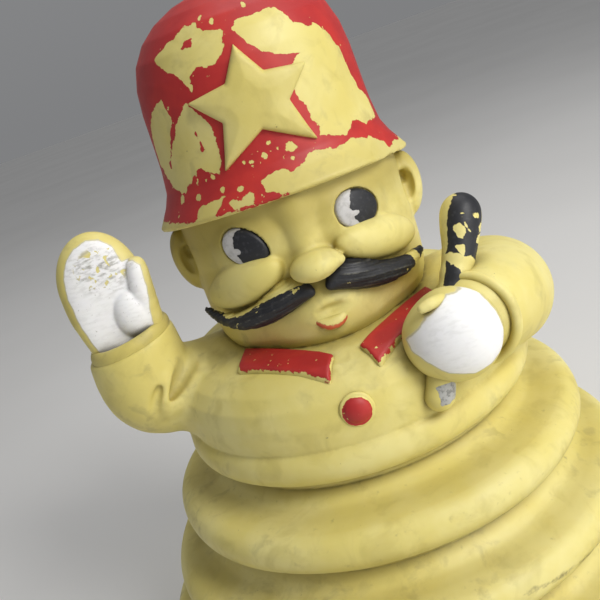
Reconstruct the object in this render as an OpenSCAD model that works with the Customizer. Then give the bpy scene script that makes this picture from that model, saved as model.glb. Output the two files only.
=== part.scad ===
// Squeeze toy: a bandmaster in a tall starred hat, moulded in soft vinyl on a bellows body.
// Pressing the figure down closes the bellows and blows the squeaker in the floor.
// Millimetres. Origin on the table at the middle of the bellows, +Z up, the figure faces -Y.

/* [Skin] */
// Thickness of the moulded vinyl
wall = 2; // [1.6:0.1:2.4]

/* [Bellows] */
// Outer radius of the top fold
top_fold_r = 60; // [58:0.5:62]
// How much wider each fold is than the one above it
fold_step = 8; // [7.5:0.1:8.5]
// Height between two folds
fold_pitch = 19.5; // [19:0.1:20.5]
// Height of the lowest fold above the table
low_fold_z = 20.5; // [20.2:0.1:21.5]
// Roundness of a fold's crest
crest_r = 5.5; // [5:0.1:5.6]
// Slope of the outer part of a fold's top, in degrees
shelf_slope = 17; // [15:1:19]
// Slope of the steep part that rises to the next fold, in degrees
steep_slope = 55; // [52:1:58]
// How far a crest reaches over the groove under it
overhang = 1.6; // [1.4:0.1:1.8]
// Radius of the groove under a crest
groove_r = 0.9; // [0.7:0.1:1.2]
// Radius of the groove under the coat's roll
top_groove_r = 1.3; // [1:0.1:1.3]

/* [Foot] */
// Outer radius of the foot
foot_r = 68; // [66:0.5:68]
// Roundness of the foot's edge
foot_edge_r = 4.5; // [4:0.1:4.8]

/* [Figure] */
// Outer radius of the roll under the coat
hem_r = 50; // [49:0.5:51]
// Height of that roll's middle
hem_z = 77.5; // [77.3:0.1:78.2]
// Radius of the hat's rim
rim_r = 34.6; // [34:0.1:35.5]
// Size of the hat's star, as a share of its drawn outline
star_scale = 1; // [0.9:0.02:1.05]
// How far the star, the collar and the button stand out
relief = 1.2; // [0.8:0.1:1.6]
// Radius of the coat's button
button_r = 3.9; // [3.4:0.1:4.4]
// Radius of an eyeball
eye_r = 5.3; // [5:0.1:5.6]

/* [Squeaker] */
// Outer radius of the squeaker's cup
cup_r = 9; // [8.5:0.1:9.5]
// Wall of the cup
cup_wall = 1.2; // [1:0.1:1.4]
// Width of the reed
reed_w = 2.4; // [2.2:0.1:2.6]

/* [Hidden] */
$fn = 64;
blob_fn = 20;
crest_count = 3;
sides = ["left", "right"];

function crest_name(i) = str("fold_", i, "_crest");
NODES = concat(
    ["foot_and_floor", "squeaker_cup", "squeaker_grille", "reed_plate", "reed", "reed_clamp",
     "squeaker_retainer"],
    [for (i = [1:crest_count]) crest_name(i)],
    [for (i = [1:crest_count + 1]) str("valley_", i, "_groove")],
    [for (i = [1:crest_count + 1]) str("valley_", i, "_slope")],
    ["hem_roll", "coat", "coat_button", "collar_left", "collar_right"],
    ["raised_sleeve", "raised_mitten", "raised_thumb", "bent_sleeve", "fist", "fist_thumb"],
    ["baton_grip", "baton_ferrule"],
    ["head", "ear_left", "ear_right", "nose", "lower_lip"],
    ["eye_left", "eye_right", "pupil_left", "pupil_right", "moustache_left", "moustache_right"],
    ["hat_crown", "hat_rim", "hat_star"]
);
node = "all";
function shown(name) = node == "all" || node == name;

vinyl = "khaki";
hat_red = "firebrick";
paint_black = [0.08, 0.08, 0.1];
paint_white = "white";
brass = "goldenrod";

// ---- Shared shapes ----

function unit(a) = [cos(a), sin(a)];
function mix(a, b, t) = a + (b - a) * t;
function side_sign(side) = side == "left" ? 1 : -1;

// The part of a ring between two angles, as a flat section.
module arc_wall(centre, outer, inner, from, to) {
    reach = outer * 3;
    middle = (from + to) / 2;
    translate(centre) intersection() {
        difference() {
            circle(outer);
            circle(inner);
        }
        polygon([[0, 0], reach * unit(from), reach * unit(mix(from, middle, 0.5)), reach * unit(middle),
                 reach * unit(mix(middle, to, 0.5)), reach * unit(to)]);
    }
}

// One closed surface through a list of rings, each a list of points. A looped one joins its last
// ring to its first, and any other is capped at both ends.
module ring_loft(rings, looped = false) {
    n = len(rings[0]);
    count = len(rings);
    spans = looped ? count : count - 1;
    polyhedron(
        points = [for (ring = rings) for (p = ring) p],
        faces = concat(
            [for (i = [0:spans - 1]) for (j = [0:n - 1])
                each let (a = i * n + j, b = i * n + (j + 1) % n,
                          c = (i + 1) % count * n + (j + 1) % n, d = (i + 1) % count * n + j)
                    [[a, c, b], [a, d, c]]],
            looped ? [] : [[for (j = [0:n - 1]) j], [for (j = [n - 1:-1:0]) (count - 1) * n + j]]
        )
    );
}

// A level oval ring: centre, and half sizes along X and Y.
function oval_ring(centre, rx, ry) =
    [for (j = [0:blob_fn - 1]) let (a = 360 * j / blob_fn) centre + [rx * cos(a), ry * sin(a), 0]];

// An egg shape, as a stack of level ovals.
module egg(centre, size) {
    steps = 9;
    ring_loft([for (i = [0:steps]) let (a = mix(-86, 86, i / steps))
        oval_ring(centre + [0, 0, size[2] * sin(a)], size[0] * cos(a), size[1] * cos(a))]);
}

// A ring of points round a path's point, square to the direction there.
function tube_ring(centre, direction, r) =
    let (d = direction / norm(direction),
         u = cross(d, abs(d[2]) > 0.9 ? [0, 1, 0] : [0, 0, 1]), uu = u / norm(u), v = cross(d, uu))
    [for (j = [0:blob_fn - 1]) let (a = 360 * j / blob_fn) centre + r * (cos(a) * uu + sin(a) * v)];

// A smooth value between listed ones, for t from 0 to the last index.
function along(list, t) =
    let (i = min(floor(t), len(list) - 2), f = t - i,
         p0 = list[max(i - 1, 0)], p1 = list[i], p2 = list[i + 1], p3 = list[min(i + 2, len(list) - 1)])
    0.5 * (2 * p1 + (p2 - p0) * f + (2 * p0 - 5 * p1 + 4 * p2 - p3) * f * f
           + (3 * p1 - p0 - 3 * p2 + p3) * f * f * f);

function path_rings(path, radii, thinner, steps) =
    let (last = len(path) - 1)
    [for (i = [0:steps]) let (t = last * i / steps, near = min(t, last - 0.02))
        tube_ring(along(path, t), along(path, near + 0.02) - along(path, near), along(radii, t) - thinner)];

function reversed(list) = [for (i = [len(list) - 1:-1:0]) list[i]];

// A hollow tube, open at both ends, that follows a path.
module hollow_tube(path, radii, steps = 10) {
    ring_loft(concat(path_rings(path, radii, 0, steps), reversed(path_rings(path, radii, wall, steps))),
              looped = true);
}

// A solid tube with flat ends that follows a path.
module solid_tube(path, radii, steps = 10) {
    ring_loft(path_rings(path, radii, 0, steps));
}

// ---- Bellows: crests, and between them a groove and a slope ----

function crest_centre(i) =
    i == 0 ? [hem_r - crest_r, hem_z]
    : i <= crest_count ? [top_fold_r + (i - 1) * fold_step - crest_r,
                          low_fold_z + (crest_count - i) * fold_pitch]
    : [foot_r - foot_edge_r, foot_edge_r];
function edge_r(i) = i <= crest_count ? crest_r : foot_edge_r;
// Each valley's shelf slope, steep slope and overhang. The first is under the coat's roll, and the last
// is on the foot.
foot_valley = crest_count + 1;
function shelf(i) = i == 1 ? 12 : i == foot_valley ? 40 : shelf_slope;
function steep(i) = i == 1 ? 40 : i == foot_valley ? 75 : steep_slope;
function reach_over(i) = i == foot_valley ? 7.2 : overhang;
function hollow_r(i) = i == 1 ? top_groove_r : groove_r;

// Where the shelf of valley i leaves the crest under it, on the outside.
function slope_start(i) = crest_centre(i) + edge_r(i) * unit(90 - shelf(i));
function groove_centre(i) = crest_centre(i - 1) + [hollow_r(i) - reach_over(i), -crest_r - hollow_r(i)];
// Where the steep part ends at the groove, on the outside. It stops a hair short of the groove, which
// moves with the fold above.
hair = 0.06;
function steep_end(i) = groove_centre(i) - hollow_r(i) * unit(90 - steep(i)) - hair * unit(180 - steep(i));
// Where the shelf meets the steep part.
function knee_r(i) = (steep_end(i)[1] - slope_start(i)[1] + steep_end(i)[0] * tan(steep(i))
                      - slope_start(i)[0] * tan(shelf(i))) / (tan(steep(i)) - tan(shelf(i)));
function knee(i) = [knee_r(i), slope_start(i)[1] + (slope_start(i)[0] - knee_r(i)) * tan(shelf(i))];

module crest(i) {
    color(vinyl) rotate_extrude()
        arc_wall(crest_centre(i), crest_r, crest_r - wall, -90, 90 - shelf(i));
}

// The groove under a crest, with the level strip that joins it to the crest.
module valley_groove(i) {
    under = crest_centre(i - 1)[1] - crest_r;
    centre = groove_centre(i);
    color(vinyl) rotate_extrude() {
        arc_wall(centre, hollow_r(i) + wall, hollow_r(i), 90, 270 - steep(i));
        translate([centre[0], under]) square([crest_centre(i - 1)[0] - centre[0], wall]);
    }
}

// The shelf and the steep part of a valley, in one sheet.
module valley_slope(i) {
    out_low = unit(90 - shelf(i));
    out_high = unit(90 - steep(i));
    bend = (steep(i) - shelf(i)) / 2;
    out_knee = unit(90 - shelf(i) - bend) / cos(bend);
    color(vinyl) rotate_extrude()
        polygon([slope_start(i), knee(i), steep_end(i), steep_end(i) - wall * out_high,
                 knee(i) - wall * out_knee, slope_start(i) - wall * out_low]);
}

// ---- Foot, with the boss that holds the squeaker ----

boss_h = 10;
boss_t = 2.5;

module foot_and_floor() {
    c = crest_centre(crest_count + 1);
    color(vinyl) rotate_extrude() {
        arc_wall(c, foot_edge_r, foot_edge_r - wall, -90, 90 - shelf(foot_valley));
        translate([cup_r, 0]) square([c[0] - cup_r, wall]);
        translate([cup_r, 0]) square([boss_t, boss_h]);
    }
}

// ---- Squeaker: cup, grille, reed plate, reed, clamp and retainer ----

squeaker_z = 1;
cup_h = 8;
grille_t = 1.2;
hole_ring_r = 4.2;
hole_r = 0.9;
hole_count = 6;
plate_z = 5;
plate_t = 0.6;
reed_t = 0.25;
reed_lift = 0.06;
reed_root_x = -3.5;
reed_length = 7.3;
slot_margin = 0.35;
clamp_gap = 0.3;
inside_r = cup_r - cup_wall;

module squeaker_cup() {
    color("silver") rotate_extrude() {
        translate([inside_r, squeaker_z]) square([cup_wall, cup_h]);
        translate([inside_r - 0.8, plate_z - 0.8]) square([0.8, 0.8]);
    }
}

module squeaker_grille() {
    color("silver") translate([0, 0, squeaker_z]) difference() {
        cylinder(r = inside_r, h = grille_t);
        for (i = [0:hole_count - 1])
            rotate(360 / hole_count * i) translate([hole_ring_r, 0, -1]) cylinder(r = hole_r, h = grille_t + 2);
    }
}

module reed_plate() {
    slot = [reed_length + 2 * slot_margin, reed_w + 2 * slot_margin, plate_t + 2];
    color(brass) difference() {
        translate([0, 0, plate_z]) cylinder(r = inside_r, h = plate_t);
        translate([reed_root_x - slot_margin, -slot[1] / 2, plate_z - 1]) cube(slot);
    }
}

module reed() {
    color(brass) translate([reed_root_x, -reed_w / 2, plate_z + plate_t + reed_lift])
        cube([reed_length, reed_w, reed_t]);
}

module reed_clamp() {
    size = [2.2, reed_w + 1.4, 1];
    color("silver")
        translate([reed_root_x - clamp_gap - size[0], -size[1] / 2, plate_z + plate_t]) cube(size);
}

module squeaker_retainer() {
    ring_w = 1.2;
    color("silver") rotate_extrude()
        translate([inside_r - ring_w, plate_z + plate_t]) square([ring_w, 1.4]);
}

// ---- Coat ----

coat_line = [[48.2, 81.9], [48.6, 87], [47.8, 92.5], [45.4, 96.4], [41.5, 99.2], [36.5, 101], [31, 101.8],
             [27.5, 101.8]];
collar_outline = [[3.6, -38.2], [25.1, -19], [27.4, -28.2], [6, -44.4]];
collar_x = 0.3;
button_place = [-1.8, -47.7, 90.3];

module hem_roll() {
    c = crest_centre(0);
    color(vinyl) rotate_extrude() arc_wall(c, crest_r, crest_r - wall, -90, 50);
}

module coat_section(grow) {
    polygon(concat([for (p = coat_line) p + [grow, grow * 0.5]], [[0, 101.8 + grow * 0.5], [0, 81.9]]));
}

module coat() {
    inner = [for (p = coat_line) p - [wall, p[1] > 90 ? wall * 0.7 : 0]];
    color(vinyl) rotate_extrude()
        polygon(concat(coat_line, [coat_line[len(coat_line) - 1] - [0, wall * 0.7]],
                       reversed([for (i = [0:len(inner) - 2]) inner[i]])));
}

// A shallow dome pressed into the front of the coat, facing out and a little up.
module coat_button() {
    dome_r = button_r * 1.6;
    sink = dome_r - 1.6;
    color(hat_red) translate(button_place) rotate([80, 0, 0]) rotate_extrude() intersection() {
        translate([0, -sink]) circle(dome_r);
        translate([0, -0.6]) square([button_r, dome_r]);
    }
}

module collar(side) {
    s = side_sign(side);
    color(hat_red) intersection() {
        translate([0, 0, 90]) linear_extrude(20)
            polygon([for (p = collar_outline) [s * p[0] + collar_x, p[1]]]);
        rotate_extrude() difference() {
            coat_section(relief);
            coat_section(0);
        }
    }
}

// ---- Arms ----

raised_path = [[-35, -3, 94.5], [-45, -4.5, 95], [-52.8, -6.5, 99], [-54, -8.5, 106], [-53.2, -10, 113.6]];
raised_radii = [10.5, 11.6, 12.4, 12.2, 11.8];
// Each level of the mitten: X, height and half width.
mitten_levels = [[-54.3, 112.5, 9], [-55, 117, 10], [-55.3, 123, 10.8], [-54.8, 129, 10.9], [-54, 135, 10],
                 [-53, 139.5, 7.9], [-52.3, 142.6, 4.6], [-52, 144.2, 1.4]];
mitten_y = -10;
mitten_flatness = 0.58;

module raised_sleeve() {
    color(vinyl) hollow_tube(raised_path, raised_radii, 14);
}

module raised_mitten() {
    color(paint_white) ring_loft([for (l = mitten_levels)
        oval_ring([l[0], mitten_y, l[1]], l[2], l[2] * mitten_flatness)]);
}

module raised_thumb() {
    path = [[-46.6, -12.5, 116], [-44.8, -13.8, 124], [-44.4, -13.6, 130], [-44.4, -13, 133.4]];
    color(paint_white) solid_tube(path, [2.8, 3.1, 2.8, 1.4], 8);
}

bent_path = [[34, -2, 92.4], [42.8, -6, 91.8], [43.8, -15, 93.4], [38.6, -28, 97], [31, -38, 99]];
bent_radii = [11.6, 13.4, 13.4, 11.6, 10];
fist_centre = [24.8, -44.2, 98.8];

module bent_sleeve() {
    color(vinyl) hollow_tube(bent_path, bent_radii, 14);
}

module fist() {
    color(paint_white) egg(fist_centre, [12.6, 10, 12]);
}

module fist_thumb() {
    path = [[24.5, -48, 107.6], [21, -49.6, 108.2], [17.5, -49.8, 107.8], [15.4, -49.4, 107]];
    color(vinyl) solid_tube(path, [2.4, 2.3, 2, 1], 8);
}

baton_top = [37.2, -27.4, 121];
baton_low = [16.4, -46.6, 84.6];
ferrule_share = 0.2;
function baton_at(t) = mix(baton_low, baton_top, t);

module baton_grip() {
    color(paint_black)
        solid_tube([baton_at(ferrule_share), baton_at(0.5), baton_at(0.8), baton_at(1), baton_at(1.09)],
                   [3.6, 3.7, 4.5, 4.5, 1.6], 14);
}

module baton_ferrule() {
    color("silver") solid_tube([baton_at(0), baton_at(ferrule_share / 2), baton_at(ferrule_share)],
                               [3.4, 3.8, 3.9], 4);
}

// ---- Head ----

head_fn = 48;
face_x = -0.7;
// Each level of the head: height, half width, half depth and how far forward its middle is.
head_levels = [[98.6, 20, 21, 2], [100, 24.4, 26, 2.4], [102.6, 27.2, 29, 2.4], [106, 28.8, 30.4, 2.2],
               [110, 29.6, 31, 1.8], [115, 30.2, 31, 1.6], [120, 30.8, 30.8, 1.2], [124, 31, 30.8, 0.8],
               [129, 31.2, 31, 0.4], [134, 31, 31, 0], [138, 30.6, 30.8, 0], [141.5, 30.2, 30.4, 0]];
// A swelling of the face: angle from the front, height, spread in degrees, spread in height, how far out.
swellings = [[36, 120.3, 17, 6, 3.4], [-36, 120.3, 17, 6, 3.4], [0, 105, 26, 5, 1.2],
             [27, 130.8, 12, 5, -2.4], [-27, 130.8, 12, 5, -2.4]];

function swelling_at(a, z) = [for (s = swellings)
    s[4] * exp(-pow((a - s[0]) / s[2], 2) - pow((z - s[1]) / s[3], 2))] * [for (s = swellings) 1];
function head_ring(level, thinner) = [for (j = [0:head_fn - 1])
    let (a = 360 * j / head_fn, off = ((a + 90 + 180) % 360) - 180, out = swelling_at(off, level[0]) - thinner)
        [face_x + (level[1] + out) * cos(a), -level[3] + (level[2] + out) * sin(a), level[0]]];

module head() {
    color(vinyl) ring_loft(concat([for (l = head_levels) head_ring(l, 0)],
                                  reversed([for (l = head_levels) head_ring(l, wall)])), looped = true);
}

module ear(side) {
    color(vinyl) egg([side_sign(side) * 30.8 + face_x, -1, 126.6], [4.8, 6, 8.8]);
}

module nose() {
    color(vinyl) egg([0.6, -33.8, 123.2], [6.2, 5.6, 4.3]);
}

module lower_lip() {
    path = [[-4.6, -30.6, 110], [-1, -31.8, 108.2], [3, -31.8, 108.2], [7, -30.6, 110]];
    color(hat_red) solid_tube(path, [0.6, 1.6, 1.6, 0.6], 8);
}

function eye_centre(side) = [side_sign(side) * 14.1 + face_x, -26.6, 130.6];

module eye(side) {
    color(paint_white) translate(eye_centre(side)) sphere(eye_r);
}

// A pupil is a cap of paint on the eyeball. Both look to the figure's left.
module pupil(side) {
    paint_t = 0.25;
    pupil_spread = 40;
    gaze = 22;
    color(paint_black) translate(eye_centre(side)) rotate(gaze) rotate([88, 0, 0])
        rotate_extrude() arc_wall([0, 0], eye_r + paint_t, eye_r, 90 - pupil_spread, 90);
}

// Each level of half a moustache, from its middle outwards: angle from the front, height and radius.
moustache_rows = [[3, 117, 1.4], [10, 117.3, 3.4], [20, 115.2, 3.3], [31, 113.2, 2.6], [43, 112.6, 1.9],
                  [54, 114.6, 0.9]];
moustache_r = 34.2;

module moustache(side) {
    s = side_sign(side);
    path = [for (m = moustache_rows) let (r = moustache_r - 0.9 * m[2])
        [face_x + s * r * sin(m[0]), -1 - r * cos(m[0]), m[1]]];
    color(paint_black) solid_tube(path, [for (m = moustache_rows) m[2]], 12);
}

// ---- Hat ----

hat_x = -1.2;
hat_line = [[29.6, 146.5], [28.8, 152], [28.4, 158], [28.1, 166], [27.3, 172], [25.4, 177.5], [22, 182],
            [17.6, 185.4], [12, 187.9], [6, 189.3]];
hat_top = 189.7;
rim_low_z = 138;
rim_line = [[rim_r, rim_low_z], [rim_r, 139.2], [32.8, 141.4], [30.9, 144.2], [29.6, 146.5]];
star_z = 160.4;
// The star's points and inner corners on one side, from the top: across and up.
star_half = [[0, 13.9], [4.6, 6.3], [14.6, 4.8], [7.9, -1.9], [10.8, -12.8], [0, -6.2]];

module hat_section(grow) {
    polygon(concat([for (p = hat_line) p + [grow, grow * 0.2]], [[0, hat_top + grow * 0.2], [0, 146.5]]));
}

module hat_crown() {
    inner = [for (p = hat_line) p - [wall, p[1] > 170 ? wall * 0.8 : 0]];
    color(hat_red) translate([hat_x, 0, 0]) rotate_extrude()
        polygon(concat(hat_line, [[0, hat_top], [0, hat_top - wall]], reversed(inner)));
}

module hat_rim() {
    color(hat_red) translate([hat_x, 0, 0]) rotate_extrude()
        polygon(concat(rim_line, [[27.6, 146.5], [31, 141], [31.6, rim_low_z]]));
}

// The star is a prism that faces -Y, cut to a thin layer on the crown.
module hat_star() {
    prism_back = 20;
    prism_depth = 15;
    outline = star_scale * concat(star_half, [for (i = [4:-1:1]) [-star_half[i][0], star_half[i][1]]]);
    color(vinyl) translate([hat_x, 0, 0]) intersection() {
        translate([0, -prism_back, star_z]) rotate([90, 0, 0]) linear_extrude(prism_depth) polygon(outline);
        rotate_extrude() difference() {
            hat_section(relief);
            hat_section(0);
        }
    }
}

// ---- Every node ----

if (shown("foot_and_floor")) foot_and_floor();
if (shown("squeaker_cup")) squeaker_cup();
if (shown("squeaker_grille")) squeaker_grille();
if (shown("reed_plate")) reed_plate();
if (shown("reed")) reed();
if (shown("reed_clamp")) reed_clamp();
if (shown("squeaker_retainer")) squeaker_retainer();
for (i = [1:crest_count]) if (shown(crest_name(i))) crest(i);
for (i = [1:crest_count + 1]) {
    if (shown(str("valley_", i, "_groove"))) valley_groove(i);
    if (shown(str("valley_", i, "_slope"))) valley_slope(i);
}
if (shown("hem_roll")) hem_roll();
if (shown("coat")) coat();
if (shown("coat_button")) coat_button();
for (side = sides) {
    if (shown(str("collar_", side))) collar(side);
    if (shown(str("ear_", side))) ear(side);
    if (shown(str("eye_", side))) eye(side);
    if (shown(str("pupil_", side))) pupil(side);
    if (shown(str("moustache_", side))) moustache(side);
}
if (shown("raised_sleeve")) raised_sleeve();
if (shown("raised_mitten")) raised_mitten();
if (shown("raised_thumb")) raised_thumb();
if (shown("bent_sleeve")) bent_sleeve();
if (shown("fist")) fist();
if (shown("fist_thumb")) fist_thumb();
if (shown("baton_grip")) baton_grip();
if (shown("baton_ferrule")) baton_ferrule();
if (shown("head")) head();
if (shown("nose")) nose();
if (shown("lower_lip")) lower_lip();
if (shown("hat_crown")) hat_crown();
if (shown("hat_rim")) hat_rim();
if (shown("hat_star")) hat_star();
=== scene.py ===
"""A soft vinyl squeeze toy, a bandmaster on a bellows body, dressed around its CAD frame."""

import math

import bpy
import numpy as np
from mathutils import Matrix, Vector


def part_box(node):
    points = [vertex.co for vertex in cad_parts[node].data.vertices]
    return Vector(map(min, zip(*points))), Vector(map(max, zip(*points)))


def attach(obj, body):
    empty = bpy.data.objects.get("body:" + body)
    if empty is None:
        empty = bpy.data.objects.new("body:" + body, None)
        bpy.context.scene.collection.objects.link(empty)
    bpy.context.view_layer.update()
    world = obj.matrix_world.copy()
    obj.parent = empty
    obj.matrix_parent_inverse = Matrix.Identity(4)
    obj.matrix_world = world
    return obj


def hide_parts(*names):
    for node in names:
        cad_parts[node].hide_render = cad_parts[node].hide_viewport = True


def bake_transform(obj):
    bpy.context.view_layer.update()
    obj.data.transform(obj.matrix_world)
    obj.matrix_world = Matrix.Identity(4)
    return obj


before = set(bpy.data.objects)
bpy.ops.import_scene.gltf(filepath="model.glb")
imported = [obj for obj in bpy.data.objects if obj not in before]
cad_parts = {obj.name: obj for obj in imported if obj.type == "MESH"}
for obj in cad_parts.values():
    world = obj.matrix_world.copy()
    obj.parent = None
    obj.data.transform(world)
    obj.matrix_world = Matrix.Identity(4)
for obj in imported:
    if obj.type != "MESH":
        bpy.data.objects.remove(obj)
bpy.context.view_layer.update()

MM = 0.001  # shapes are sculpted in millimetres and placed in metres
COARSE = 1.0


# ---- Places, taken from the CAD frame, in millimetres ----


def middle(node):
    low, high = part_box(node)
    return np.array((low + high) / 2) / MM


def half_size(node):
    low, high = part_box(node)
    return np.array((high - low) / 2) / MM


def top_of(node):
    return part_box(node)[1].z / MM


def bottom_of(node):
    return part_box(node)[0].z / MM


HEAD = middle("head")
HAT_X = middle("hat_crown")[0]
HAT_TOP = top_of("hat_crown")
RIM_Z = bottom_of("hat_rim")
RIM_R = half_size("hat_rim")[0]
HEM_R = half_size("hem_roll")[0]
HEM_Z = bottom_of("hem_roll")
COAT_TOP = top_of("coat")


# ---- Distance fields: shapes to sculpt with ----
# A point is three arrays x, y, z. A field is negative inside its shape.


def length(*parts):
    return np.sqrt(sum(part * part for part in parts))


def join(a, b, soft=0.0):
    """Both shapes as one, with a fillet of about that radius."""
    if soft <= 0:
        return np.minimum(a, b)
    h = np.clip(0.5 + 0.5 * (b - a) / soft, 0, 1)
    return b + (a - b) * h - soft * h * (1 - h)


def both(a, b, soft=0.0):
    """What two shapes share, with its edges rounded."""
    return -join(-a, -b, soft)


def cut(a, b, soft=0.0):
    """The first shape without the second."""
    return -join(-a, b, soft)


def egg(p, centre, radii, turn=0.0, tilt=0.0):
    """An ellipsoid, turned about Z and then tilted about Y, in degrees."""
    x, y, z = (p[i] - centre[i] for i in range(3))
    c, s = math.cos(math.radians(turn)), math.sin(math.radians(turn))
    x, y = c * x + s * y, c * y - s * x
    c, s = math.cos(math.radians(tilt)), math.sin(math.radians(tilt))
    x, z = c * x - s * z, s * x + c * z
    near = length(x / radii[0], y / radii[1], z / radii[2])
    slope = length(x / radii[0] ** 2, y / radii[1] ** 2, z / radii[2] ** 2)
    return near * (near - 1) / np.maximum(slope, 1e-6)


def bone(p, a, b, radius_a, radius_b):
    """A straight stretch with round ends, whose radius changes evenly."""
    a, b = np.array(a, float), np.array(b, float)
    d = b - a
    t = sum((p[i] - a[i]) * d[i] for i in range(3)) / max(float(d @ d), 1e-9)
    t = np.clip(t, 0, 1)
    return length(*(p[i] - a[i] - t * d[i] for i in range(3))) - (radius_a + t * (radius_b - radius_a))


def curve_points(points, steps):
    """A smooth curve through the points, with that many steps between two of them."""
    q = np.array([points[0], *points, points[-1]], float)
    found = []
    for i in range(len(points) - 1):
        a, b, c, d = q[i : i + 4]
        square, cube = 2 * a - 5 * b + 4 * c - d, 3 * b - a - 3 * c + d
        found += [0.5 * (2 * b + (c - a) * t + square * t**2 + cube * t**3) for t in np.arange(steps) / steps]
    return np.array([*found, q[-1]])


def limb(p, path, radii, steps=3, soft=0.8):
    """A rounded limb along a smooth path."""
    line = curve_points([(*point, radius) for point, radius in zip(path, radii)], steps)
    field = None
    for a, b in zip(line, line[1:]):
        part = bone(p, a[:3], b[:3], a[3], b[3])
        field = part if field is None else join(field, part, soft)
    return field


def polygon_distance(u, v, points):
    """Signed distance to a closed outline in a plane."""
    points = np.array(points, float)
    inside = np.zeros(np.broadcast(u, v).shape, bool)
    best = np.full(inside.shape, 1e9, np.float32)
    for (ax, ay), (bx, by) in zip(points, np.roll(points, -1, axis=0)):
        dx, dy = bx - ax, by - ay
        if dx == 0 and dy == 0:
            continue
        t = np.clip(((u - ax) * dx + (v - ay) * dy) / (dx * dx + dy * dy), 0, 1)
        best = np.minimum(best, (u - ax - t * dx) ** 2 + (v - ay - t * dy) ** 2)
        if dy != 0:
            inside ^= ((ay > v) != (by > v)) & (u < ax + (v - ay) * dx / dy)
    return np.where(inside, -1, 1) * np.sqrt(best)


def lathe(outline, step=0.25, margin=8.0):
    """A field of revolution about Z from an outline of (radius, height), read from a fine table."""
    outline = np.array(outline, float)
    z0, z1 = outline[:, 1].min() - margin, outline[:, 1].max() + margin
    r = np.arange(0, outline[:, 0].max() + 4 * margin, step)
    z = np.arange(z0, z1, step)
    mirrored = np.concatenate([outline, (outline * [-1, 1])[::-1]])
    table = polygon_distance(r[:, None], z[None, :], mirrored).astype(np.float32)

    def field(p, x=0.0, y=0.0):
        i = np.clip(length(p[0] - x, p[1] - y) / step, 0, len(r) - 1.01)
        j = np.clip((p[2] - z0) / step, 0, len(z) - 1.01)
        i, j = np.broadcast_arrays(i, j)
        a, b = i.astype(int), j.astype(int)
        s, t = i - a, j - b
        low = table[a, b] * (1 - s) + table[a + 1, b] * s
        high = table[a, b + 1] * (1 - s) + table[a + 1, b + 1] * s
        return low * (1 - t) + high * t

    return field


# ---- From a field to a mesh ----

CORNERS = [(i, j, k) for i in (0, 1) for j in (0, 1) for k in (0, 1)]
EDGES = [(a, b) for a in range(8) for b in range(a) if math.dist(CORNERS[a], CORNERS[b]) == 1]


def surface(field, low, high, step):
    """The surface of a field as points and quads, one point in each grid cell that it crosses."""
    axes = [np.arange(a, b + step, step, dtype=np.float32) for a, b in zip(low, high)]
    shape = tuple(len(a) for a in axes)
    grid = (axes[0][:, None, None], axes[1][None, :, None], axes[2][None, None, :])
    value = np.broadcast_to(field(grid), shape).astype(np.float32)
    inside = value < 0
    cells = [slice(0, -1), slice(1, None)]
    count = sum(inside[cells[i], cells[j], cells[k]].astype(np.int8) for i, j, k in CORNERS)
    crossed = (count > 0) & (count < 8)
    number = np.full(crossed.shape, -1, np.int64)
    number[crossed] = np.arange(crossed.sum())
    cell = np.argwhere(crossed)
    corner = [value[cell[:, 0] + i, cell[:, 1] + j, cell[:, 2] + k] for i, j, k in CORNERS]
    total, hits = np.zeros((len(cell), 3)), np.zeros(len(cell))
    for a, b in EDGES:
        hit = (corner[a] < 0) != (corner[b] < 0)
        t = np.where(hit, corner[a] / np.where(hit, corner[a] - corner[b], 1), 0)
        place = np.array(CORNERS[a]) + t[:, None] * (np.array(CORNERS[b]) - np.array(CORNERS[a]))
        total += place * hit[:, None]
        hits += hit
    points = np.array(low) + (cell + total / hits[:, None]) * step
    quads = []
    for axis in range(3):
        b, c = (axis + 1) % 3, (axis + 2) % 3
        first, second = [slice(1, -1)] * 3, [slice(1, -1)] * 3
        first[axis], second[axis] = slice(0, -1), slice(1, None)
        here = inside[tuple(first)]
        start = np.argwhere(here != inside[tuple(second)])
        flip = here[tuple(start.T)]
        start[:, b] += 1
        start[:, c] += 1
        ring = []
        for back_b, back_c in ((0, 0), (1, 0), (1, 1), (0, 1)):
            q = start.copy()
            q[:, b] -= back_b
            q[:, c] -= back_c
            ring.append(number[tuple(q.T)])
        ring = np.stack(ring, 1)
        ring[~flip] = ring[~flip][:, ::-1]
        quads.append(ring)
    return settle(field, points, step), np.concatenate(quads)


def gradient(field, points, reach=0.05):
    x, y, z = points.T
    here = field((x, y, z))
    moved = [field((x + reach, y, z)), field((x, y + reach, z)), field((x, y, z + reach))]
    return here, np.stack([(m - here) / reach for m in moved], 1)


def settle(field, points, step):
    """Points pulled onto the surface itself."""
    for _ in range(2):
        value, slope = gradient(field, points)
        move = -slope * (value / np.maximum((slope**2).sum(1), 0.2))[:, None]
        far = np.linalg.norm(move, axis=1)
        points = points + move * np.minimum(1, 0.5 * step / np.maximum(far, 1e-9))[:, None]
    return points


def new_mesh(name, points, faces, material, body):
    """A piece of the toy from points in millimetres."""
    mesh = bpy.data.meshes.new(name)
    mesh.from_pydata((np.asarray(points) * MM).tolist(), [], np.asarray(faces).tolist())
    mesh.update()
    mesh.polygons.foreach_set("use_smooth", [True] * len(mesh.polygons))
    mesh.materials.append(material)
    piece = bpy.data.objects.new(name, mesh)
    bpy.context.scene.collection.objects.link(piece)
    if body:
        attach(piece, body)
    return piece


def keep_mask(piece, name, values):
    """One number for each point of a piece, for its paint to read."""
    piece.data.attributes.new(name, "FLOAT", "POINT").data.foreach_set("value", values.astype(np.float32))


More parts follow.
